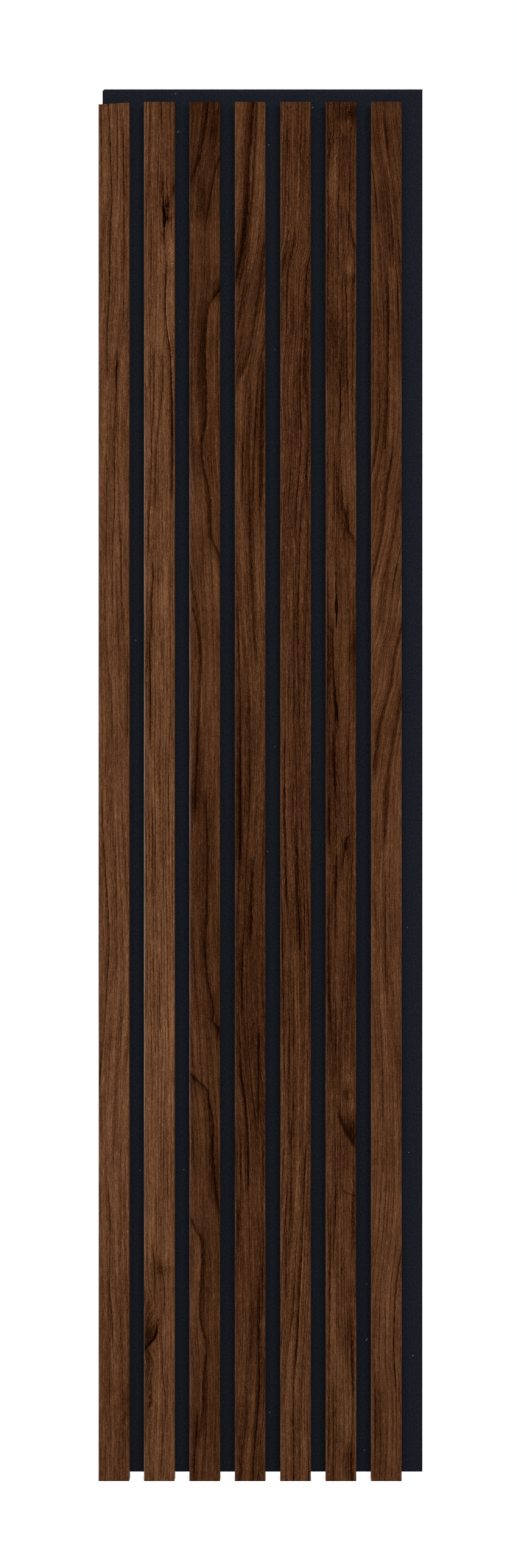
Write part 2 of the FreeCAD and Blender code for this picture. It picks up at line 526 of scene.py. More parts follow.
@dataclass(frozen=True)
class Mottled:
    """A finish of two colours that fine flecks mix, with the shine and relief of its kind."""

    name: str
    dark: str
    light: str
    flecks: tuple[Fleck, ...]
    mixed: tuple[float, float] = (0.35, 0.65)
    sockets: tuple[tuple[str, float], ...] = ()
    dullness: Span | None = None
    bump: float = 0.0
    relief: float = 0.0

    def material(self) -> bpy.types.Material:
        """Make the finish's material.

        Returns:
            The material.
        """
        material, tree = new_material(self.name)
        place = add_node(tree, "TexCoord").outputs["Object"]
        level = 0.0
        for fleck in self.flecks:
            inputs = {"Vector": place, "Scale": 1 / fleck.size, "Detail": fleck.detail}
            grain = add_node(tree, "TexNoise", {**inputs, "Distortion": fleck.twist}).outputs[0]
            level = add_up(tree, level, (grain, 1 / len(self.flecks)))
        surface: dict[str | int, Any] = dict(self.sockets)
        colours = tuple(zip(self.mixed, (self.dark, self.light)))
        surface["Base Color"] = add_node(tree, "ValToRGB", {"Fac": level}, colours).outputs[0]
        if self.dullness:
            surface["Roughness"] = add_node(tree, "MapRange", self.dullness.of(level)).outputs[0]
        if self.relief:
            height = {"Height": level, "Strength": self.bump, "Distance": self.relief}
            surface["Normal"] = add_node(tree, "Bump", height).outputs[0]
        shader = add_node(tree, "BsdfPrincipled", surface).outputs[0]
        add_node(tree, "OutputMaterial", {"Surface": shader})
        return material


@dataclass(frozen=True)
class SawnBoard(Mottled):
    """Medium density fibreboard, sawn across: a dull tan with fine flecks and a faint relief."""

    name: str = "fibreboard_sawn"
    dark: str = "#6d4f35"
    light: str = "#94714f"
    flecks: tuple[Fleck, ...] = (Fleck(0.6 * MM, 3.0),)
    mixed: tuple[float, float] = (0.3, 0.7)
    sockets: tuple[tuple[str, float], ...] = (("Roughness", 0.85), ("Specular IOR Level", 0.15))
    bump: float = 0.4
    relief: float = 0.2 * MM


@dataclass(frozen=True)
class PressedFelt(Mottled):
    """Polyester felt, needle-punched and pressed: blue-black, matt, mottled by its tufts and fibres."""

    name: str = "pet_felt_black"
    dark: str = "#0c0f13"
    light: str = "#22262f"
    flecks: tuple[Fleck, ...] = (Fleck(1.8 * MM, 2.0), Fleck(0.6 * MM, 2.0, 1.5))
    mixed: tuple[float, float] = (0.3, 0.7)
    sockets: tuple[tuple[str, float], ...] = (
        ("Roughness", 0.95), ("Specular IOR Level", 0.03), ("Sheen Weight", 0.03), ("Sheen Roughness", 0.6),
    )
    bump: float = 0.5
    relief: float = 0.3 * MM


@dataclass(frozen=True)
class StapleSteel(Mottled):
    """Galvanised flat wire: grey, softly shining, with a dull zinc bloom."""

    name: str = "galvanised_wire"
    dark: str = "#8b8c8c"
    light: str = "#b9bab8"
    flecks: tuple[Fleck, ...] = (Fleck(2.0 * MM, 3.0),)
    sockets: tuple[tuple[str, float], ...] = (("Metallic", 1.0),)
    dullness: Span | None = Span(low=0.25, high=0.5)


@dataclass(frozen=True)
class LintFibre(Mottled):
    """Stray polyester fibre: pale, matt and unevenly dusty."""

    name: str = "pale_lint_fibre"
    dark: str = "#7d8288"
    light: str = "#c9cccd"
    flecks: tuple[Fleck, ...] = (Fleck(0.4 * MM, 1.0),)
    sockets: tuple[tuple[str, float], ...] = (("Roughness", 0.7), ("Specular IOR Level", 0.2))


@dataclass(frozen=True)
class Seam:
    """One strong growth line: its (down, across) points and half width in mm, and its depth of tone.

    Its soft side is on the left, or on the right with a negative half width. A negative depth makes a pale
    line. Tail is the share of the depth that is left at its last point.
    """

    points: Line
    width: float
    depth: float
    tail: float = 1.0


@dataclass(frozen=True)
class Patch:
    """A soft oval in the veneer: its middle and half sizes in mm, and the change that it makes."""

    down: float
    across: float
    length: float
    width: float
    change: float

    def spread(self, down: np.ndarray, across: np.ndarray, edge: float = 1.0) -> np.ndarray:
        """Give the change at each place, with a sharper edge for a higher power."""
        far = ((across - self.across) / self.width) ** 2 + ((down - self.down) / self.length) ** 2
        return self.change * np.exp(-far ** edge)


@dataclass(frozen=True)
class Knot:
    """A knot or swirl in the grain: its middle, half sizes and push to each side, in mm.

    Lean is how far the grain runs to the left for each millimetre down, and core the share of the width
    within which the push turns from one side to the other.
    """

    down: float
    across: float
    length: float
    width: float
    push: float
    lean: float = 0.0
    core: float = 0.4

    def shift(self, down: np.ndarray, across: np.ndarray) -> np.ndarray:
        """Give how far the grain is moved at each place.

        Args:
            down: Distance of each place down the slat, in mm.
            across: Its place round the girth, in mm.

        Returns:
            The move across, in mm.
        """
        aside, along = across - self.across, down - self.down
        near = np.exp(-(aside / self.width) ** 2 - (along / self.length) ** 2)
        return (self.lean * along - self.push * np.tanh(aside / (self.core * self.width))) * near


@dataclass(frozen=True)
class Crack:
    """An open split in the veneer: its (down, across) points, half width and depth, in mm.

    It closes over a few millimetres at each end, down to a share of its width at the tip. A low power of
    bluntness makes the ends round, and a high one of wall makes the sides steep.
    """

    points: Line
    width: float
    depth: float
    closing: float = 5.0
    bluntness: float = 0.6
    tip: float = 0.001
    wall: int = 4

    def beside(self, down: float, across: float, room: float) -> bool:
        """Say whether a place lies at the crack.

        Args:
            down: Distance of the place down the slat, in mm.
            across: Its place across, in mm.
            room: How far outside the crack still counts, in mm.

        Returns:
            True at the crack or within that room.
        """
        if not self.points[0][0] - room < down < self.points[-1][0] + room:
            return False
        aside = abs(across - smooth_line(self.points, np.array([down]))[0])
        return aside < 2 * self.width + room

    def opening(self, down: np.ndarray, across: np.ndarray) -> np.ndarray:
        """Give how open the crack is at each place.

        Args:
            down: Distance of each place down the slat, in mm.
            across: Its place across, in mm.

        Returns:
            From 0 outside to 1 on the crack's flat bottom.
        """
        inside = np.minimum(down - self.points[0][0], self.points[-1][0] - down)
        taper = np.clip(inside / self.closing, self.tip, 1) ** self.bluntness
        aside = (across - smooth_line(self.points, down)) / (self.width * taper)
        return np.exp(-aside ** self.wall) * (inside > 0)


@dataclass(frozen=True)
class Figure:
    """What one slat's veneer shows: its tone, the drift of its grain and its marks.

    Places are in mm: down from the slat's top end, and across from its middle line. Tone, drift, rings and
    wear are smooth lines through points down the slat. Rings is how dark the growth rings
    end, and wear how pale the left arris is, partly by wear and partly by a painted highlight.
    Curls are patches of rippled grain.
    """

    tone: Line
    ring_gap: float
    rings: Line
    seams: tuple[Seam, ...]
    drift: Line = ((0.0, 0.0),)
    patches: tuple[Patch, ...] = ()
    knots: tuple[Knot, ...] = ()
    cracks: tuple[Crack, ...] = ()
    curls: tuple[Patch, ...] = ()
    wear: Line = ((0.0, 0.12),)


@dataclass
class StandIn:
    """A piece that is modelled in place of a solid, between that solid's corners."""

    node: str
    low: np.ndarray = field(init=False)
    high: np.ndarray = field(init=False)

    def __post_init__(self) -> None:
        """Take the corners from the solid, in metres."""
        self.low, self.high = (np.array(corner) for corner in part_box(self.node))

    def add_block(self, name: str) -> bpy.types.Object:
        """Add a block between the corners, with its place in its mesh.

        Args:
            name: Name of the object and its mesh.

        Returns:
            The block, ready to be shaped.
        """
        middle, size = (self.low + self.high) / 2, self.high - self.low
        bpy.ops.object.select_all(action="DESELECT")
        bpy.ops.mesh.primitive_cube_add(size=1, location=tuple(middle), scale=tuple(size))
        bpy.ops.object.transform_apply(location=True, rotation=True, scale=True)
        block = bpy.context.object
        block.name = name
        block.data.name = name
        return block


class SlatFace(Enum):
    """Material slot of each kind of slat face."""

    VENEER = 0
    BOARD = 1


@dataclass
class Slat(StandIn):
    """One veneered slat. Its sizes are in metres, and those of its marks in mm."""

    number: int
    figure: Figure
    top_skew: float = 0.0
    arris: float = 0.6 * MM
    arris_steps: int = 4
    veneer: float = 0.6 * MM
    rows: tuple[int, int] = (80, 5)
    columns: int = 25
    long_edge: float = 2.0 * MM
    wide_edge: float = 20.0 * MM
    sawn_area: float = 50.0 * MM * MM
    crease: float = math.radians(30)
    map_bands: int = 3
    map_gap: float = 1.0 * MM
    skin: float = 0.01
    crack_cuts: int = 4
    crack_room: float = 1.6
    crack_painted_shade: float = 0.9
    # How far the tone in a crack's hollow is darkened: painted shade.
    curl_edge: float = 2.0
    wear_and_highlight_inset: float = 0.2
    wear_and_highlight_width: float = 0.45
    wear_and_highlight_depth: float = 1.0
    seam_fade: float = 8.0
    seed_step: float = 17.3

    def build(self) -> bpy.types.Object:
        """Model the slat and give it its grain.

        Returns:
            The slat's object.
        """
        left, top = self.low[0], self.high[2]
        slat = self.add_block(f"{self.node}_veneered")
        with editing(slat):
            if self.top_skew:
                pick(slat, Element.VERT, lambda vert: vert.co.z > top - NEAR and vert.co.x < left + NEAR)
                bpy.ops.transform.translate(value=(0, 0, -self.top_skew))
            pick(slat, Element.EDGE, lambda edge: self.runs_down(edge) and self.in_front(edge))
            bpy.ops.mesh.bevel(offset=self.arris, segments=self.arris_steps, affect="EDGES")
            pick(slat, Element.FACE, lambda face: abs(face.normal.z) > FACING)
            bpy.ops.mesh.inset(thickness=self.veneer, depth=0, use_individual=True)
            for cuts in self.rows:
                pick(slat, Element.EDGE, self.runs_down)
                bpy.ops.mesh.subdivide(number_cuts=cuts)
            pick(slat, Element.EDGE, lambda edge: self.runs_across(edge) and self.in_front(edge))
            bpy.ops.mesh.subdivide(number_cuts=self.columns)
            if pick(slat, Element.FACE, lambda face: self.beside_crack(face.calc_center_median())):
                bpy.ops.mesh.subdivide(number_cuts=self.crack_cuts)
        self.sort_faces(slat.data)
        self.draw_grain(slat.data)
        self.lay_map(slat.data)
        select_only(slat)
        bpy.ops.object.shade_smooth_by_angle(angle=self.crease)
        return slat

    def runs_down(self, edge: bmesh.types.BMEdge) -> bool:
        """Say whether an edge runs along the slat."""
        start, end = (vert.co for vert in edge.verts)
        return edge.calc_length() > self.long_edge and abs(start.z - end.z) > FACING * edge.calc_length()

    def runs_across(self, edge: bmesh.types.BMEdge) -> bool:
        """Say whether an edge runs across most of the slat's face."""
        start, end = (vert.co for vert in edge.verts)
        return abs(start.x - end.x) > self.wide_edge

    def in_front(self, edge: bmesh.types.BMEdge) -> bool:
        """Say whether both ends of an edge lie on the slat's front."""
        return all(abs(vert.co.y - self.low[1]) < NEAR for vert in edge.verts)

    def beside_crack(self, place: Vector) -> bool:
        """Say whether a place on the slat lies on its front at a crack.

        Args:
            place: The place, in metres.

        Returns:
            True at a crack or with little room to one.
        """
        if place.y > self.low[1] + NEAR:
            return False
        down = (self.high[2] - place.z) / MM
        across = (place.x - (self.low[0] + self.high[0]) / 2) / MM
        return any(crack.beside(down, across, self.crack_room) for crack in self.figure.cracks)

    def sort_faces(self, mesh: bpy.types.Mesh) -> None:
        """Give the sawn ends and the back bare board, and the rest veneer.

        Args:
            mesh: The slat's mesh.
        """
        inside = self.high[1] - self.veneer
        for face in mesh.polygons:
            end = abs(face.normal.z) > FACING and (face.area > self.sawn_area or face.center.y > inside)
            back = face.normal.y > FACING
            face.material_index = (SlatFace.BOARD if end or back else SlatFace.VENEER).value

    def draw_grain(self, mesh: bpy.types.Mesh) -> None:
        """Open the cracks with painted shade in them, and write the grain's flow, tone and marks to the mesh.

        Args:
            mesh: The slat's mesh.
        """
        places = np.empty(len(mesh.vertices) * 3)
        mesh.vertices.foreach_get("co", places)
        places = places.reshape(-1, 3)
        half_width = (self.high[0] - self.low[0]) / 2 / MM
        offset = (places[:, 0] - (self.low[0] + self.high[0]) / 2) / MM
        depth = (places[:, 1] - self.low[1]) / MM
        across = offset + np.sign(offset) * depth
        down = (self.high[2] - places[:, 2]) / MM

        flow = across - smooth_line(self.figure.drift, down)
        tone = smooth_line(self.figure.tone, down)
        curl = np.zeros(len(places))
        for knot in self.figure.knots:
            flow += knot.shift(down, across)
        for patch in self.figure.patches:
            tone += patch.spread(down, across)
        for patch in self.figure.curls:
            curl += patch.spread(down, across, self.curl_edge)
        for crack in self.figure.cracks:
            opening = crack.opening(down, across) * (depth < self.skin)
            # The tone is darkened in the crack's hollow: painted shade.
            tone -= self.crack_painted_shade * opening
            places[:, 1] += crack.depth * MM * opening
        mesh.vertices.foreach_set("co", places.ravel())
        # A line along the front of the left arris, paled partly by wear and partly by a painted highlight.
        arris = np.exp(-((offset + half_width - self.wear_and_highlight_inset) / self.wear_and_highlight_width) ** 2)
        wear = arris * (depth < self.wear_and_highlight_depth) * smooth_line(self.figure.wear, down)

        seed = np.full(len(places), self.seed_step * self.number)
        rate = np.full(len(places), 1 / self.figure.ring_gap)
        vectors = {"grain": (flow, down, seed), "rings": (rate, smooth_line(self.figure.rings, down), curl)}
        asides, depths = self.trace_seams(down, across)
        for group in range(SEAM_GROUPS):
            lanes = slice(LANES * group, LANES * (group + 1))
            vectors[f"seam_{group}"] = asides[lanes]
            vectors[f"seam_depth_{group}"] = depths[lanes]
        for name, parts in vectors.items():
            written = mesh.attributes.new(name, "FLOAT_VECTOR", "POINT")
            written.data.foreach_set("vector", np.stack(parts, axis=1).ravel())
        for name, values in (("tone", tone), ("wear", wear)):
            written = mesh.attributes.new(name, "FLOAT", "POINT")
            written.data.foreach_set("value", values)

    def trace_seams(self, down: np.ndarray, across: np.ndarray) -> tuple[np.ndarray, np.ndarray]:
        """Measure how far each vertex lies from the growth lines.

        Lines that run side by side get a lane each, so that a lane holds one line at any place.

        Args:
            down: Distance of each vertex down the slat, in mm.
            across: Its place round the girth, in mm.

        Returns:
            For each lane, the distance to its line in that line's half widths, and the line's depth there.
        """
        lanes = LANES * SEAM_GROUPS
        asides = np.zeros((lanes, len(down)))
        depths = np.zeros((lanes, len(down)))
        free = [-math.inf] * lanes
        for line in sorted(self.figure.seams, key=lambda seam: seam.points[0][0]):
            start, end = line.points[0][0], line.points[-1][0]
            lane = next(number for number, place in enumerate(free) if place < start)
            # A lane is free again well past the place where its last line has faded.
            free[lane] = end + 3 * self.seam_fade
            # The line's slant is read over one millimetre.
            slope = smooth_line(line.points, down + 0.5) - smooth_line(line.points, down - 0.5)
            aside = (across - smooth_line(line.points, down)) / np.hypot(1.0, slope) / line.width
            inside = np.minimum(down - start, end - down)
            here = inside > -1.5 * self.seam_fade
            asides[lane, here] = aside[here]
            along = np.clip((down - start) / (end - start), 0, 1)
            shown = np.clip((inside + self.seam_fade) / (2 * self.seam_fade), 0, 1)
            depths[lane, here] = (line.depth * shown * (1 + (line.tail - 1) * along))[here]
        return asides, depths

    def lay_map(self, mesh: bpy.types.Mesh) -> None:
        """Unwrap the long slat in bands side by side, so that a square picture of it stays sharp.

        Args:
            mesh: The slat's mesh.
        """
        width, thickness, length = self.high - self.low
        girth = 2 * width + 2 * thickness + 2 * self.map_gap
        cap_band = 2 * self.map_gap + thickness
        stretch = length / self.map_bands
        tall = stretch + cap_band
        layer = mesh.uv_layers.new(name="OFBake")
        for face in mesh.polygons:
            band = min(max(int((self.high[2] - face.center.z) / stretch), 0), self.map_bands - 1)
            for loop in face.loop_indices:
                place = mesh.vertices[mesh.loops[loop].vertex_index].co
                offset, depth = place.x - self.low[0], place.y - self.low[1]
                if abs(face.normal.z) > FACING:
                    across = offset + (0 if face.normal.z > 0 else width + self.map_gap)
                    layer.data[loop].uv = (across / girth, depth / tall)
                    continue
                if face.normal.y > FACING:
                    across = offset + width + 2 * thickness + self.map_gap
                else:
                    across = offset + thickness + (depth if offset > 0.5 * width else -depth)
                down = self.high[2] - place.z - band * stretch
                layer.data[loop].uv = ((across / girth + band) / self.map_bands, (cap_band + down) / tall)

    def dress(self, slat: bpy.types.Object, veneer: bpy.types.Material, board: bpy.types.Material) -> None:
        """Give the slat its materials and its place in the panel.

        Args:
            slat: The slat's object.
            veneer: Material of its wrapped faces.
            board: Material of its bare faces.
        """
        slat.data.materials.append(veneer)
        slat.data.materials.append(board)
        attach(slat, "root")
        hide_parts(self.node)


@dataclass
class FeltBoard(StandIn):
    """The felt backing: a pressed board with soft cut edges and a slot for each staple's crown."""

    node: str = "felt_backing"
    corner: float = 1.6 * MM
    rim: float = 0.7 * MM
    rim_steps: int = 3
    cell: float = 5.0 * MM
    crown_depth: float = 1.0 * MM
    clearance: float = 0.05 * MM
    row_gap: float = 15.0 * MM
    unevenness: float = 0.10 * MM
    lump: float = 9.0 * MM
    lump_seed: int = 1
    crease: float = math.radians(35)

    def build(self) -> bpy.types.Object:
        """Model the board.

        Returns:
            The board's object.
        """
        left, top = self.low[0], self.high[2]
        columns, rows = (self.crowns(axis) for axis in (0, 2))
        board = self.add_block("felt_board")
        with editing(board):
            pick(
                board, Element.EDGE,
                lambda edge: all(v.co.x < left + NEAR and v.co.z > top - NEAR for v in edge.verts),
            )
            bpy.ops.mesh.bevel(offset=self.corner, segments=1, affect="EDGES")
            pick(board, Element.EDGE, lambda edge: abs(edge.verts[0].co.y - edge.verts[1].co.y) < NEAR)
            bpy.ops.mesh.bevel(offset=self.rim, segments=self.rim_steps, affect="EDGES")
            for normal, stretches in (((1, 0, 0), columns), ((0, 0, 1), rows)):
                for place in [end for stretch in stretches for end in stretch]:
                    bpy.ops.mesh.select_all(action="SELECT")
                    bpy.ops.mesh.bisect(plane_co=tuple(place * part for part in normal), plane_no=normal)
            pick(board, Element.FACE, lambda face: self.in_slot(face, columns, rows))
            sink = (0, -self.crown_depth - self.clearance, 0)
            bpy.ops.mesh.extrude_region_move(TRANSFORM_OT_translate={"value": sink})
            while pick(board, Element.EDGE, lambda edge: edge.calc_length() > self.cell):
                bpy.ops.mesh.subdivide(number_cuts=1)
        self.press(board.data)
        select_only(board)
        bpy.ops.object.shade_smooth_by_angle(angle=self.crease)
        return board

    def crowns(self, axis: int) -> Stretches:
        """Find where the staples' crowns lie at the back, with room round them.

        Args:
            axis: 0 to look along X, or 2 along Z.

        Returns:
            The ends of each stretch that holds crowns, in order.
        """
        places = np.array([vert.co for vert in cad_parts["staples"].data.vertices])
        back = places[places[:, 1] > -self.crown_depth - self.clearance]
        ordered = np.sort(back[:, axis])
        cuts = np.flatnonzero(np.diff(ordered) > self.row_gap) + 1
        return [
            (float(part[0]) - self.clearance, float(part[-1]) + self.clearance)
            for part in np.split(ordered, cuts)
        ]

    def in_slot(self, face: bmesh.types.BMFace, columns: Stretches, rows: Stretches) -> bool:
        """Say whether a face of the back lies over a staple's crown.

        Args:
            face: The face.
            columns: Stretches along X that hold crowns.
            rows: Stretches along Z that hold crowns.

        Returns:
            True over a crown.
        """
        middle = face.calc_center_median()
        return (
            abs(middle.y - self.high[1]) < NEAR
            and any(first < middle.x < last for first, last in columns)
            and any(first < middle.z < last for first, last in rows)
        )

    def press(self, mesh: bpy.types.Mesh) -> None:
        """Make the faces and cut edges slightly uneven, as pressed fibre is.

        Args:
            mesh: The board's mesh.
        """
        # Unseeded, the noise would start elsewhere in each run.
        noise.seed_set(self.lump_seed)
        middle, reach = (self.low + self.high) / 2, (self.high - self.low) / 2
        for vert in mesh.vertices:
            lump = noise.noise_vector(vert.co / self.lump)
            for axis, aside in enumerate(vert.co - Vector(middle)):
                if abs(aside) > reach[axis] - self.rim:
                    vert.co[axis] -= math.copysign(lump[axis], aside) * self.unevenness

    def dress(self, board: bpy.types.Object) -> None:
        """Give the board its material and its place in the panel.

        Args:
            board: The board's object.
        """
        board.data.materials.append(PressedFelt().material())
        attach(board, "root")
        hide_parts(self.node)


@dataclass
class Lint:
    """Stray pale fibres that cling to the felt's front, as (x, z, length) in mm with a turn in degrees.

    Bow, thinning and sinking are shares of a fibre's length, of its radius at the ends and of its radius.
    """

    specks: tuple[tuple[float, float, float, float], ...] = (
        (6.0, -560.0, 1.6, 20), (91.7, -494.9, 3.4, 40), (-77.0, 609.2, 1.5, 70), (89.9, -593.3, 1.4, 10),
        (133.3, -509.5, 1.3, 100), (5.3, 563.5, 1.5, 60), (10.5, 382.0, 1.2, 0), (-112.1, 124.6, 1.2, 130),
        (10.8, 30.3, 1.3, 45), (4.9, -62.9, 1.5, 155), (129.7, -329.5, 1.1, 80), (92.2, -445.9, 1.4, 30),
        (-108.5, -345.3, 1.1, 90), (-69.6, -344.8, 1.0, 95), (128.0, -130.0, 0.9, 15),
        (-73.1, 407.1, 0.8, 50), (44.2, 596.2, 1.5, 5), (-75.4, 575.0, 2.6, 25),
    )
    radius: float = 0.16
    sides: int = 6
    cuts: int = 4
    bow: float = 0.3
    thinning: float = 0.6
    sinking: float = 0.5

    def build(self) -> bpy.types.Object:
        """Model a bent fibre at each speck.

        Returns:
            All the fibres as one object.
        """
        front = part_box("felt_backing")[0][1]
        fibres = []
        for x, z, length, turn in self.specks:
            bpy.ops.object.select_all(action="DESELECT")
            bpy.ops.mesh.primitive_cylinder_add(
                vertices=self.sides, radius=self.radius * MM, depth=length * MM
            )
            fibre = bpy.context.object
            with editing(fibre):
                pick(fibre, Element.EDGE, lambda edge: abs(edge.verts[0].co.z - edge.verts[1].co.z) > NEAR)
                bpy.ops.mesh.subdivide(number_cuts=self.cuts)
            self.bend(fibre.data, length * MM)
            fibre.rotation_euler = (0, math.radians(turn), 0)
            fibre.location = (x * MM, front - self.sinking * self.radius * MM, z * MM)
            fibres.append(fibre)
        select_only(*fibres)
        bpy.ops.object.transform_apply(location=True, rotation=True, scale=True)
        bpy.ops.object.join()
        bpy.ops.object.shade_smooth()
        lint = bpy.context.object
        lint.name = "felt_lint"
        lint.data.name = "felt_lint"
        return lint

    def bend(self, mesh: bpy.types.Mesh, length: float) -> None:
        """Bow a straight fibre and thin its ends.

        Args:
            mesh: The fibre's mesh, along Z.
            length: The fibre's length, in metres.
        """
        for vert in mesh.vertices:
            part = 2 * vert.co.z / length
            thin = 1 - self.thinning * part ** 2
            vert.co.x = vert.co.x * thin + self.bow * length * (1 - part ** 2)
            vert.co.y *= thin

    def dress(self, lint: bpy.types.Object) -> None:
        """Give the lint its material and its place on the felt.

        Args:
            lint: The fibres' object.
        """
        lint.data.materials.append(LintFibre().material())
        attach(lint, "root")


@dataclass(frozen=True)
class Lamp:
    """A square soft lamp: its place and side in metres, and how bright a white surface facing it renders."""

    name: str
    place: tuple[float, float, float]
    level: float
    side: float = 2.0

    def add(self) -> None:
        """Stand the lamp in its place, pointing at the panel."""
        lamp = bpy.data.lights.new(self.name, "AREA")
        lamp.size = self.side
        lamp.energy = self.level * (math.pi * math.dist(self.place, (0, 0, 0))) ** 2
        obj = bpy.data.objects.new(self.name, lamp)
        obj.location = self.place
        direction = -obj.location.normalized()
        obj.rotation_euler = direction.to_track_quat("-Z", "Y").to_euler()
        obj.visible_camera = False
        bpy.context.collection.objects.link(obj)


@dataclass
class Studio:
    """White surroundings, soft lamps and the camera of the photograph.

    Pixel is a photograph pixel's size at the slats and distance the camera's from them, both in mm. The eye
    and the slats' left and top are in the photograph's pixels.
    """

    pixel: float = 1 / 1.865
    picture: tuple[int, int] = (849, 2576)
    slats_left: float = 161.7
    slats_top: float = 167.4
    eye: tuple[float, float] = (485.0, 1288.0)
    distance: float = 1988.0
    view_depth: float = 100.0
    ambient: float = 0.3
    floor_side: float = 60.0
    floor_colour: str = "#e7e7e7"
    floor_lift: float = 0.78
    lamps: tuple[Lamp, ...] = (
        Lamp("key_right", (1.1, -3.4, 0.9), 0.45),
        Lamp("fill_left", (-0.9, -3.4, 0.3), 0.25),
        Lamp("back_left", (-1.8, 2.8, 1.2), 0.40),
    )

    def build(self) -> None:
        """Set up the floor, the world, the lamps and the camera."""
        bpy.context.scene.view_settings.view_transform = "Standard"
        self.add_floor()
        self.add_world()
        for lamp in self.lamps:
            lamp.add()
        self.add_camera()

    @staticmethod
    def seen(tree: Tree) -> Socket:
        """Tell rays that show the surroundings from rays that light the panel.

        Args:
            tree: The node tree of the floor or the world.

        Returns:
            1 for a ray to the camera, straight or by gloss or glass, and otherwise 0.
        """
        path = add_node(tree, "LightPath").outputs
        rays = path["Is Camera Ray"]
        for kind in ("Is Glossy Ray", "Is Transmission Ray"):
            rays = add_node(tree, "Math", {0: rays, 1: path[kind]}, operation="MAXIMUM").outputs[0]
        return rays

    def add_floor(self) -> None:
        """Lay a wide pale floor under the panel, lifted to white where it is seen."""
        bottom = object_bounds()[0][2]
        bpy.ops.object.select_all(action="DESELECT")
        bpy.ops.mesh.primitive_plane_add(size=self.floor_side, location=(0, 0, bottom))
        bpy.ops.object.transform_apply(location=True, rotation=True, scale=True)
        floor = bpy.context.object
        floor.name = "studio_floor"
        material, tree = new_material("studio_floor_white")
        lift = add_node(tree, "Math", {0: self.seen(tree), 1: self.floor_lift}, operation="MULTIPLY")
        plain = add_node(tree, "BsdfDiffuse", {"Color": linear(self.floor_colour)}).outputs[0]
        glow = add_node(tree, "Emission", {"Strength": lift.outputs[0]}).outputs[0]
        both = add_node(tree, "AddShader", {0: plain, 1: glow}).outputs[0]
        add_node(tree, "OutputMaterial", {"Surface": both})
        floor.data.materials.append(material)
        floor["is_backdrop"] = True

    def add_world(self) -> None:
        """Light evenly from all round, and show white to the camera."""
        world = bpy.data.worlds.new("studio_world")
        bpy.context.scene.world = world
        world.use_nodes = True
        tree = world.node_tree
        tree.nodes.clear()
        soft, white = (
            add_node(tree, "Background", {"Color": linear("#ffffff"), "Strength": level}).outputs[0]
            for level in (self.ambient, 1.0)
        )
        mix = add_node(tree, "MixShader", {0: self.seen(tree), 1: soft, 2: white}).outputs[0]
        add_node(tree, "OutputWorld", {"Surface": mix})

    def add_camera(self) -> None:
        """Look square at the slats from the photograph's viewpoint."""
        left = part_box("slat_1")[0][0]
        low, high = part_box("slat_2")
        width, height = self.picture
        step = self.pixel * MM
        camera = bpy.data.cameras.new("photo_camera")
        camera.sensor_fit = "AUTO"
        camera.lens = camera.sensor_width * self.distance / (height * self.pixel)
        camera.shift_x = (width / 2 - self.eye[0]) / height
        camera.shift_y = (self.eye[1] - height / 2) / height
        camera.clip_end = self.view_depth
        obj = bpy.data.objects.new("photo_camera", camera)
        obj.location = (
            left + (self.eye[0] - self.slats_left) * step,
            low[1] - self.distance * MM,
            high[2] - (self.eye[1] - self.slats_top) * step,
        )
        obj.rotation_euler = (math.radians(90), 0, 0)
        bpy.context.collection.objects.link(obj)
        bpy.context.scene.camera = obj


# The first slat's top end was sawn out of square, lower at its left.
TOP_SKEW = {"slat_1": 1.6 * MM}

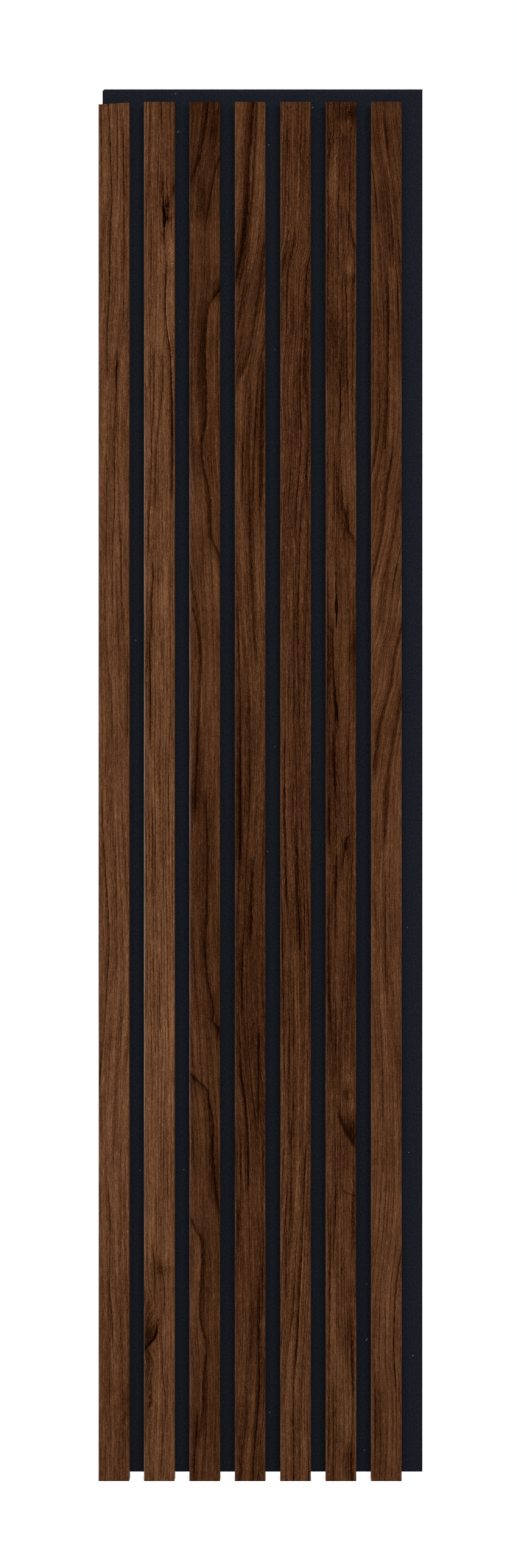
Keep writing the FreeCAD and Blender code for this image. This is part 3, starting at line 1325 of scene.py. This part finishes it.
FIGURES = (
    # Slat 1: even mid brown, with a long line that wavers down its left half.
    Figure(
        tone=((0, 0.58), (640, 0.58), (840, 0.62), (1000, 0.61), (1130, 0.51)),
        drift=((0, 0), (27, 1.2), (57, 2.2), (88, 3), (111, 1.5), (172, 0.7), (195, -0.8), (600, -1),
               (693, 1.5), (745, 2.5), (799, 1), (852, -2), (959, -3), (1020, -1.5), (1089, 0.8),
               (1215, 1)),
        ring_gap=5.0,
        rings=((0, 0.09),),
        seams=(
            Seam(((-10, -10.9), (88, -10.6)), 0.4, 0.38),
            Seam(((-10, -5.2), (27, -3.5), (57, -2.5), (88, -1.7), (111, -3.2), (149, -3.5),
                  (172, -4.0), (195, -5.5), (240, -5.5)), 0.5, 0.44),
            Seam(((-10, 3.0), (42, 3.7), (80, 2.9)), 0.4, 0.38),
            Seam(((20, 8.3), (88, 9.0), (149, 9.0), (190, 8.7)), 0.4, 0.38),
            Seam(((225, 3.2), (240, 2.2), (256, 2.9), (300, 1.2)), 0.8, 0.34, 0.4),
            Seam(((310, -6.3), (400, -6.3)), 0.4, 0.30),
            Seam(((300, 0.6), (350, 0.8), (394, -0.9), (445, -0.9)), 0.4, 0.38),
            Seam(((378, 6.7), (450, 6.7)), 0.4, 0.30),
            Seam(((478, 12.2), (562, 12.2)), 0.6, 0.30),
            Seam(((615, -10.6), (661, -8.6), (693, -6.3), (715, -4.7), (745, -4.0), (768, -5.5),
                  (799, -7.0), (830, -9.3), (852, -11.6), (872, -13.4)), 0.5, 0.38),
            Seam(((646, 1.4), (715, 2.9), (795, 2.6)), 0.4, 0.28),
            Seam(((791, 6.7), (870, 6.0)), 0.4, 0.24),
            Seam(((955, -4.7), (990, -3.2), (1020, -3.2), (1046, -4.0), (1066, -1.7), (1092, -0.9)),
                  0.5, 0.35),
            Seam(((951, 6.0), (1010, 6.4)), 0.4, 0.22),
        ),
        patches=(
            Patch(236, 2.9, 11, 1.5, -0.26), Patch(973, 8.6, 26, 4.0, -0.07),
            Patch(1148, 11.5, 12, 3.0, -0.20),
        ),
    ),
    # Slat 2: straight pale grain, a knot and split near the top and a slanting split near the bottom.
    Figure(
        tone=((70, 0.54), (220, 0.62), (420, 0.61), (690, 0.63), (840, 0.69), (980, 0.63),
              (1140, 0.64)),
        ring_gap=3.0,
        rings=((0, 0.15), (440, 0.17), (540, 0.27), (800, 0.27), (900, 0.16)),
        seams=(
            Seam(((-10, 1.6), (31, 2.5)), 0.4, 0.28),
            Seam(((50, -0.6), (78, -1.4)), 0.4, 0.32),
            Seam(((66, 3.2), (88, 3.7), (96, 4.2), (102, 5.4), (109, 4.3), (128, 4.6)), 0.8, 0.46),
            Seam(((100, -6.7), (161, -7.5)), 0.4, 0.36),
            Seam(((80, -11.0), (110, -11.2)), 0.4, 0.30),
            Seam(((148, 6.4), (187, 5.5), (203, 7.0), (218, 9.3), (235, 10.1), (256, 10.9), (310, 11.6),
                  (350, 11.0)), 0.8, 0.46),
            Seam(((150, 7.6), (190, 6.9), (206, 8.6), (220, 10.8), (240, 11.6), (262, 12.4)), 0.5,
                  -0.22),
            Seam(((215, -4.4), (256, -4.4), (287, -6.0), (340, -7.5), (371, -9.0), (398, -9.8)), 0.45,
                  0.42),
            Seam(((219, 2.5), (251, 2.8), (281, -0.2), (311, -2.6), (355, -3.7)), 0.45, 0.38),
            Seam(((249, -11.6), (275, -11.4)), 0.4, 0.30),
            Seam(((403, -6.0), (417, -5.2), (432, -6.4), (466, -6.7)), 0.55, 0.46),
            Seam(((478, -8.3), (528, -7.5), (566, -7.5)), 0.55, 0.44),
            Seam(((478, 2.5), (493, 2.4)), 0.45, 0.36),
            Seam(((623, -6.0), (653, -5.6)), 0.45, 0.40),
            Seam(((650, -3.7), (684, -3.6)), 0.5, 0.44),
            Seam(((756, 0.4), (800, 0.6), (820, 0.9)), 0.45, 0.38),
            Seam(((1008, -5.6), (1020, -4.4), (1035, -3.7), (1052, -4.0)), 0.5, 0.40),
            Seam(((1022, 1.6), (1028, 2.5), (1051, 4.7), (1068, 3.9)), 0.5, 0.34),
            Seam(((1074, -1.2), (1079, -1.6), (1085, -2.6), (1091, -5.6), (1095, -9.4), (1100, -14.5)),
                  1.5, 0.30),
            Seam(((1098, 3.0), (1120, 3.2), (1143, 5.5), (1161, 5.2), (1181, 3.2), (1206, 2.1)), 0.45,
                  0.34),
        ),
        patches=(
            Patch(77, 13.0, 6, 2.2, -0.28), Patch(90, 7.8, 7, 2.6, -0.22),
            Patch(103, 8.0, 3.5, 3.4, -0.30), Patch(131, 10.5, 12, 2.5, 0.12),
            Patch(250, 12.0, 45, 1.6, -0.12), Patch(492, -8.5, 40, 2.5, -0.08),
            Patch(1029, 3.0, 5, 12, -0.16), Patch(1062, -8.5, 20, 6.0, -0.18),
            Patch(1086, -8.5, 9, 5.0, -0.26), Patch(1108, -9.5, 9, 4.0, -0.14),
            Patch(1100, -12.5, 62, 5.0, -0.30), Patch(1163, -6.0, 34, 5.0, 0.06),
        ),
        knots=(
            Knot(97, 4.8, 22, 6.0, 2.4), Knot(90, 7.4, 6, 2.4, 1.8),
            Knot(1068, -7.0, 18, 6.0, 1.2, 0.5), Knot(1104, -8.0, 12, 5.0, 0.0, -0.5),
            Knot(1145, -8.0, 16, 5.0, 2.0),
        ),
        cracks=(
            Crack(((86, 3.6), (92, 3.7), (97, 4.2), (101, 4.7)), 0.50, 1.0),
            Crack(((93, 3.9), (98, 4.5), (102, 4.9), (106, 4.6), (111, 4.5)), 1.15, 1.4),
            Crack(((90.2, 6.2), (93.4, 6.2)), 0.5, 0.6),
            Crack(((1078, -2.0), (1085, -3.0), (1090, -5.4), (1094, -8.8), (1100, -13.4)), 0.8, 0.4),
        ),
        curls=(
            Patch(136, 11.0, 20, 3.4, 1.0), Patch(1029, 2.5, 4, 5.0, 0.9),
            Patch(1150, -7.0, 26, 4.5, 0.35), Patch(220, 12.0, 60, 1.6, 0.9),
        ),
        wear=((0, 0.25), (300, 0.45), (420, 0.9), (850, 0.9), (980, 0.45), (1215, 0.3)),
    ),
    # Slat 3: dark, with broad lines that cross it from side to side.
    Figure(
        tone=((60, 0.31), (240, 0.40), (530, 0.45), (680, 0.39), (1000, 0.43)),
        drift=((0, 0), (32, -3), (58, -6), (163, -8), (190, -10), (309, -11), (350, -8), (404, -4),
               (502, 0), (764, 0), (855, 4), (900, 8), (987, 10), (1011, 12), (1077, 12), (1113, 14),
               (1215, 13)),
        ring_gap=4.5,
        rings=((0, 0.07),),
        seams=(
            Seam(((-10, 4.0), (5, 2.5), (24, 0.2), (40, -2.9), (51, -5.2), (62, -9.0), (72, -13.0)),
                  1.3, 0.28),
            Seam(((44, 15.5), (50, 13.2), (65, 8.6), (80, 5.5), (96, 3.2), (108, 0.7)), 0.5, 0.32),
            Seam(((155, 20.0), (165, 13.2), (171, 8.6), (177, 4.7), (189, 1.7), (207, 0.2), (235, 0.5),
                  (264, 1.4), (279, 0.9), (302, -2.9), (322, -1.4), (337, 2.5), (352, 4.7), (371, 5.2),
                  (387, 7.0), (395, 10.9), (402, 14.0), (410, 18.0)), 1.3, 0.30),
            Seam(((410, -13.0), (421, -11.3), (436, -9.0), (450, -6.0)), 1.3, 0.26),
            Seam(((444, -11.5), (449, -9.8), (459, -6.7), (472, -5.2), (485, -4.1), (516, -4.4),
                  (541, -5.2), (570, -6.7), (607, -8.0), (628, -8.6)), 1.2, 0.30),
            Seam(((440, -13.0), (452, -10.6), (462, -8.4), (475, -7.0)), 0.6, -0.16),
            Seam(((610, 0.7), (661, 2.5), (715, 1.7), (745, 0.2), (773, 2.5), (788, 5.5), (802, 7.8),
                  (812, 7.8), (816, 12.4), (822, 17.0)), 1.1, 0.28),
            Seam(((850, -15.5), (855, -12.9), (862, -6.7), (869, 0.9), (882, 4.0), (897, 7.0),
                  (921, 7.0), (959, 10.0), (978, 13.0)), 1.3, 0.32),
            Seam(((976, -16.0), (982, -13.2), (993, -8.3), (1000, -3.7), (1012, -1.8), (1035, -2.9),
                  (1066, -4.1), (1078, -2.9), (1089, 0.9), (1100, 1.7), (1120, -0.6), (1143, -1.4),
                  (1167, -3.4), (1178, -5.6)), -1.3, 0.30),
            Seam(((1156, -6.4), (1182, -7.6)), 1.0, 0.44),
            Seam(((1184, -9.0), (1208, -9.2)), 0.8, 0.38),
        ),
        patches=(
            Patch(22, 9.5, 24, 5.0, -0.08), Patch(110, -6.0, 9, 8.0, 0.10), Patch(132, 0, 32, 14, 0.05),
            Patch(167, 11.5, 9, 5.0, -0.14), Patch(235, -4.5, 55, 6.0, -0.09),
            Patch(186, 9.0, 14, 5.0, 0.10), Patch(262, 8.0, 20, 6.0, 0.05),
            Patch(318, -5.0, 22, 5.0, -0.06), Patch(360, -6.0, 22, 7.0, 0.08),
            Patch(420, 4.0, 25, 8.0, 0.06), Patch(575, -6.0, 36, 2.4, -0.14),
            Patch(618, -8.0, 14, 3.0, -0.12), Patch(700, -5.0, 30, 6.0, -0.06),
            Patch(796, 8.5, 20, 3.0, -0.16), Patch(820, 12.0, 8, 2.5, -0.16),
            Patch(820, -3.0, 25, 8.0, 0.06), Patch(885, -6.0, 16, 5.0, 0.06),
            Patch(940, 9.5, 30, 3.5, -0.18), Patch(1045, 5.0, 40, 5.0, -0.05),
            Patch(1050, -8.5, 45, 3.5, 0.07),
        ),
        curls=(
            Patch(111, -7.0, 8, 6.0, 0.5),
        ),
        wear=((0, 0.2), (300, 0.3), (420, 0.62), (850, 0.62), (980, 0.35), (1215, 0.25)),
    ),
    # Slat 4: broad lines that slant to the left in its upper part, then straighter grain.
    Figure(
        tone=((60, 0.52), (230, 0.40), (400, 0.47), (740, 0.33), (1140, 0.46)),
        drift=((0, 0), (47, -3.5), (82, -5), (112, -7.5), (134, -10), (158, -14), (180, -18),
               (210, -23), (235, -28), (256, -30), (302, -31.5), (381, -31), (409, -29.5), (440, -28),
               (485, -25), (860, -26), (898, -22), (950, -20.5), (1130, -20), (1158, -21.5),
               (1181, -24), (1215, -26)),
        ring_gap=6.0,
        rings=((0, 0.08), (300, 0.13)),
        seams=(
            Seam(((-10, 4.0), (1, 2.7), (24, 0.8), (47, -1.0), (82, -2.4), (112, -4.7), (134, -7.7),
                  (151, -11.4), (160, -14.0)), 1.7, 0.42),
            Seam(((-10, 6.4), (11, 5.7), (57, 3.4), (88, 1.1), (112, -1.9), (143, -5.7), (164, -10.5)),
                  1.2, 0.26),
            Seam(((120, 13.6), (150, 10.0), (180, 5.7), (210, 1.1), (235, -5.7), (247, -11.0)), 1.5,
                  0.26),
            Seam(((155, -0.8), (177, -5.7), (197, -10.8)), 1.4, 0.24),
            Seam(((250, 0.4), (280, 0.0), (302, -1.1), (348, -0.4), (381, -0.7), (409, 1.1), (440, 2.7),
                  (470, 4.2), (490, 6.0)), 1.2, 0.24),
            Seam(((230, 11.0), (302, 10.6), (356, 9.0)), 1.5, 0.22),
            Seam(((296, -6.5), (352, -6.5)), 0.5, 0.30),
            Seam(((440, -11.0), (500, -9.6), (607, -8.6), (665, -8.6)), 1.0, 0.34),
            Seam(((528, 0.0), (610, -0.4)), 0.5, 0.34),
            Seam(((670, 1.6), (700, 0.8), (735, 0.0)), 1.6, 0.30),
            Seam(((745, -7.0), (800, -7.2)), 0.7, 0.36),
            Seam(((848, -9.0), (862, -7.0), (875, -5.0), (898, -2.7), (913, -1.7), (955, -1.1)), 0.7,
                  0.42),
            Seam(((820, 7.8), (868, 7.3), (898, 7.3)), 0.8, 0.36),
            Seam(((910, 11.9), (962, 11.9)), 0.6, 0.30),
            Seam(((972, -9.9), (1008, -10.2)), 0.6, 0.34),
            Seam(((1022, 11.0), (1070, 11.2)), 0.6, 0.40),
            Seam(((1040, 8.0), (1112, 7.8), (1130, 8.0), (1158, 6.5), (1181, 4.2), (1204, 2.7),
                  (1225, 2.2)), 0.8, 0.40),
        ),
        patches=(
            Patch(60, 9.0, 50, 4.0, 0.05), Patch(325, 10.0, 30, 2.4, -0.10),
            Patch(630, -10.0, 45, 3.0, -0.08), Patch(1110, 10.0, 40, 3.0, -0.08),
        ),
    ),
    # Slat 5: close rings that drift to the left, with a few thin lines.
    Figure(
        tone=((0, 0.44), (230, 0.43), (380, 0.41), (540, 0.46), (690, 0.38), (850, 0.46), (1150, 0.54)),
        drift=((0, 0), (60, -2), (110, -4), (123, -5), (143, -9), (160, -10), (201, -10), (226, -11.6),
               (249, -12.3), (302, -11.2), (328, -13), (352, -15.3), (378, -16.5), (409, -17.5),
               (647, -17.5), (717, -14.5), (742, -13.7), (933, -14), (974, -15.6), (1028, -18),
               (1089, -21), (1112, -22.6), (1215, -23)),
        ring_gap=3.4,
        rings=((0, 0.20), (420, 0.18), (940, 0.23)),
        curls=(
            Patch(95, 0.0, 60, 16.0, 0.35),
        ),
        seams=(
            Seam(((20, -6.7), (50, -6.7)), 0.5, 0.34),
            Seam(((20, 5.6), (47, 4.0)), 0.5, 0.32),
            Seam(((116, 0.6), (123, -0.6), (143, -4.4), (150, -5.4)), 1.0, 0.16),
            Seam(((130, -7.4), (134, -8.3), (149, -11.3)), 0.6, 0.30),
            Seam(((190, 6.6), (201, 6.3), (226, 4.7), (249, 4.0), (272, 4.7), (302, 5.0), (328, 3.2),
                  (352, 0.9), (380, -0.3)), 0.6, 0.40),
            Seam(((308, 10.0), (352, 10.2)), 0.6, 0.34),
            Seam(((405, -1.5), (556, -1.4)), 0.45, 0.30),
            Seam(((640, 0.0), (669, 0.9), (699, 1.7), (717, 3.2), (745, 4.2)), 0.6, 0.44),
            Seam(((678, -8.3), (702, -8.3)), 0.45, 0.34),
            Seam(((830, -6.0), (913, -6.0)), 0.5, 0.36),
            Seam(((830, 10.9), (855, 10.8)), 0.5, 0.34),
            Seam(((900, -3.2), (940, -3.8), (980, -3.7)), 0.5, 0.36),
            Seam(((925, 9.0), (974, 7.0), (1028, 4.7), (1058, 3.2), (1089, 1.7), (1116, -0.2)), 0.6,
                  0.44),
            Seam(((940, 9.8), (974, 8.2), (1028, 5.9), (1058, 4.4), (1089, 2.9)), 0.45, -0.18),
            Seam(((992, -8.3), (1056, -8.3)), 0.5, 0.36),
        ),
    ),
    # Slat 6: rippled grain, small knots at its right side and a split a third of the way down.
    Figure(
        tone=((0, 0.41), (420, 0.43), (680, 0.36), (1000, 0.50), (1160, 0.54)),
        ring_gap=4.4,
        rings=((0, 0.22), (640, 0.19), (900, 0.22)),
        seams=(
            Seam(((-10, -5.4), (6, -5.2), (12, -4.6), (18, -5.2), (24, -4.8)), 0.35, 0.34),
            Seam(((-10, -3.6), (8, -3.4), (14, -2.9), (21, -3.4), (27, -3.0)), 0.35, 0.30),
            Seam(((-10, -1.2), (10, -1.0), (17, -0.4), (24, -1.0)), 0.35, 0.28),
            Seam(((25, -9.8), (29, -9.3), (34, -10.0), (40, -9.4), (47, -9.8), (53, -11.2),
                  (58, -11.0)), 0.55, 0.36),
            Seam(((88, 0.4), (114, 0.6)), 0.5, 0.32),
            Seam(((92, 4.0), (109, 8.3), (122, 10.6), (131, 13.8)), 1.3, 0.28),
            Seam(((232, -1.9), (252, -0.6), (300, -2.0)), 0.7, 0.36),
            Seam(((308, -5.5), (366, -5.6)), 0.5, 0.34),
            Seam(((322, -2.5), (366, -2.4)), 0.5, 0.32),
            Seam(((346, 0.6), (352, 1.4), (363, 3.7), (374, 6.0), (384, 9.8), (388, 13.6)), 1.4, 0.30),
            Seam(((458, -7.0), (493, -7.0), (516, -5.5), (531, -4.7), (549, -2.4)), 0.9, 0.42),
            # Pale streak on the left lip of the split: a painted highlight.
            Seam(((424, -5.9), (437, -6.0)), 0.4, -0.24),
            Seam(((490, -5.9), (520, -4.6)), 0.4, -0.24),
            Seam(((556, -6.4), (600, -6.2)), 0.8, 0.30),
            Seam(((618, -10.6), (656, -10.4)), 0.7, 0.38),
            Seam(((645, 9.0), (650, 5.0), (658, 3.6), (672, 1.2)), 0.7, 0.38),
            Seam(((648, -4.7), (668, -4.8)), 0.4, -0.26),
            Seam(((668, -3.0), (702, -5.0)), 0.9, 0.28),
            Seam(((889, -2.4), (898, 0.4), (906, 4.0), (914, 8.8), (921, 13.6)), -1.8, 0.32),
            Seam(((951, -0.6), (954, 0.6), (960, 3.7), (962, 8.3), (963, 13.0)), 0.6, 0.36),
            Seam(((957, -4.0), (990, -5.5), (1022, -7.0)), 0.6, 0.36),
            Seam(((970, -8.6), (1060, -9.6)), 0.6, 0.32),
            Seam(((1130, -6.6), (1225, -6.4)), 0.6, 0.34),
            Seam(((1180, 9.0), (1225, 10.0)), 0.7, 0.34),
        ),
        patches=(
            Patch(10, 8.0, 8, 7.0, -0.32), Patch(32, 2.0, 4, 3.0, -0.14),
            Patch(72, -7.0, 24, 3.5, 0.20), Patch(74, 5.0, 10, 5.0, -0.10),
            Patch(146, 8.0, 8, 5.0, 0.12), Patch(156, 9.0, 4, 5.0, -0.10),
            Patch(202, -6.0, 36, 5.0, -0.16), Patch(330, 9.0, 18, 5.0, 0.06),
            Patch(500, -11.5, 50, 2.4, -0.14), Patch(484, 10.0, 14, 4.0, -0.12),
            Patch(577, -9.0, 16, 4.0, -0.12), Patch(656, 5.0, 8, 3.0, -0.20),
            Patch(700, 8.0, 22, 5.0, 0.07), Patch(858, 8.0, 9, 5.0, 0.12),
            Patch(874, 5.0, 6, 3.0, -0.24), Patch(884, 9.5, 5, 3.0, 0.16),
            Patch(906, 10.0, 9, 4.5, -0.26), Patch(954, 9.8, 4, 1.6, 0.12),
            Patch(1000, 8.0, 22, 5.0, 0.06), Patch(1046, 9.0, 9, 4.0, -0.14),
            Patch(1086, 7.5, 20, 5.0, -0.20), Patch(1197, 5.5, 14, 5.0, -0.18),
        ),
        knots=(
            Knot(11, 7.0, 14, 6.0, 2.5), Knot(655, 5.8, 10, 5.0, 2.0), Knot(876, 7.5, 10, 5.0, 2.2),
            Knot(150, 9.0, 12, 6.0, 1.6), Knot(955, 8.0, 10, 6.0, 1.6),
        ),
        cracks=(
            Crack(((433, -4.0), (440, -3.7), (446, -3.3), (452, -3.7), (458, -4.0), (464, -4.2)), 0.55,
                   0.9),
            Crack(((438, -4.5), (443, -5.2), (447, -4.9), (452, -4.3)), 0.40, 0.7),
            Crack(((423, -4.7), (431, -4.6)), 0.4, 0.5),
            Crack(((527, -4.2), (535, -3.4), (545, -2.5)), 0.5, 0.6),
        ),
        curls=(
            Patch(70, -5.0, 80, 9.0, 0.5), Patch(330, -6.0, 120, 7.0, 0.3),
            Patch(1080, -4.0, 120, 8.0, 0.3),
        ),
    ),
    # Slat 7: broad lines that slant to the right at the top and to the left below.
    Figure(
        tone=((0, 0.42), (220, 0.44), (400, 0.50), (680, 0.54), (840, 0.52), (990, 0.56), (1140, 0.54)),
        drift=((0, 0), (19, 1), (42, 3.3), (63, 6.4), (85, 8.7), (111, 10.7), (165, 13.3), (226, 14),
               (272, 13.3), (302, 11.7), (314, 10.5), (340, 6), (363, 3.7), (381, 1.4), (409, -4.8),
               (424, -7.8), (447, -10.5), (463, -13), (478, -17), (498, -20.7), (516, -23),
               (531, -27.6), (550, -32), (562, -33.7), (593, -37), (653, -39.2), (1020, -39.5),
               (1043, -42.6), (1066, -44), (1097, -44.9), (1127, -43.5), (1215, -43)),
        ring_gap=4.0,
        rings=((0, 0.12), (150, 0.16), (300, 0.13), (650, 0.13), (1215, 0.15)),
        seams=(
            Seam(((15, -1.8), (20, -1.1), (42, 1.2), (50, 2.4)), 0.6, 0.36),
            Seam(((14, -4.0), (19, -3.4), (42, -1.1), (63, 2.0), (85, 4.3), (111, 6.3), (134, 7.4),
                  (168, 9.0)), 0.5, -0.20),
            Seam(((60, 0.4), (85, 2.6), (111, 4.8), (140, 6.2)), 0.6, 0.26),
            Seam(((152, 1.0), (200, 2.0), (226, 1.2), (272, 0.5), (305, -1.1)), 0.9, 0.36),
            Seam(((160, 9.6), (200, 11.4)), 0.5, 0.28),
            Seam(((306, 6.6), (314, 5.0), (340, 0.5), (363, -1.8), (381, -4.1), (409, -10.3),
                  (426, -14.0)), 1.7, 0.26),
            Seam(((334, 14.6), (340, 13.5), (363, 9.6), (394, 3.5), (424, -0.3), (447, -2.6),
                  (466, -3.6)), 1.8, 0.18),
            Seam(((458, 14.6), (463, 13.5), (478, 9.6), (498, 5.8), (516, 3.5), (531, -1.1),
                  (550, -5.7), (562, -7.2), (596, -10.4)), 1.7, 0.28),
            Seam(((518, 14.0), (524, 12.7), (547, 8.9), (570, 5.0), (585, 2.8), (610, 1.0),
                  (655, -1.8)), 1.6, 0.28),
            Seam(((676, -1.0), (776, -0.6)), 0.5, 0.32),
            Seam(((760, 0.8), (800, 1.6)), 0.5, 0.32),
            Seam(((1014, 13.2), (1020, 12.0), (1043, 8.9), (1066, 7.4), (1097, 6.6), (1117, 7.4),
                  (1130, 8.3)), 0.55, 0.44),
            Seam(((1062, -1.0), (1092, -0.6)), 0.5, 0.32),
            Seam(((1064, -2.0), (1084, -1.8)), 0.4, -0.20),
        ),
        patches=(
            Patch(90, -7.5, 14, 5.0, -0.12), Patch(162, -5.0, 40, 3.4, -0.06),
            Patch(1168, -8.0, 36, 4.5, -0.16), Patch(545, -6.0, 16, 5.0, -0.08),
        ),
    ),
)


def main() -> None:
    """Build the panel's pieces in order and report each one."""
    logging.basicConfig(level=logging.INFO, format="%(name)s: %(message)s")
    pieces = []
    veneer = WalnutVeneer().material()
    board = SawnBoard().material()
    for number, figure in enumerate(FIGURES, start=1):
        node = f"slat_{number}"
        slat_maker = Slat(node, number, figure, TOP_SKEW.get(node, 0.0))
        slat = slat_maker.build()
        slat_maker.dress(slat, veneer, board)
        pieces.append(slat)
    for maker in (FeltBoard(), Lint()):
        piece = maker.build()
        maker.dress(piece)
        pieces.append(piece)
    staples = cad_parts["staples"]
    staples.data.materials.clear()
    staples.data.materials.append(StapleSteel().material())
    pieces.append(staples)
    Studio().build()
    for piece in pieces:
        LOG.info("%s: %d faces", piece.name, len(piece.data.polygons))


if __name__ == "__main__":
    main()
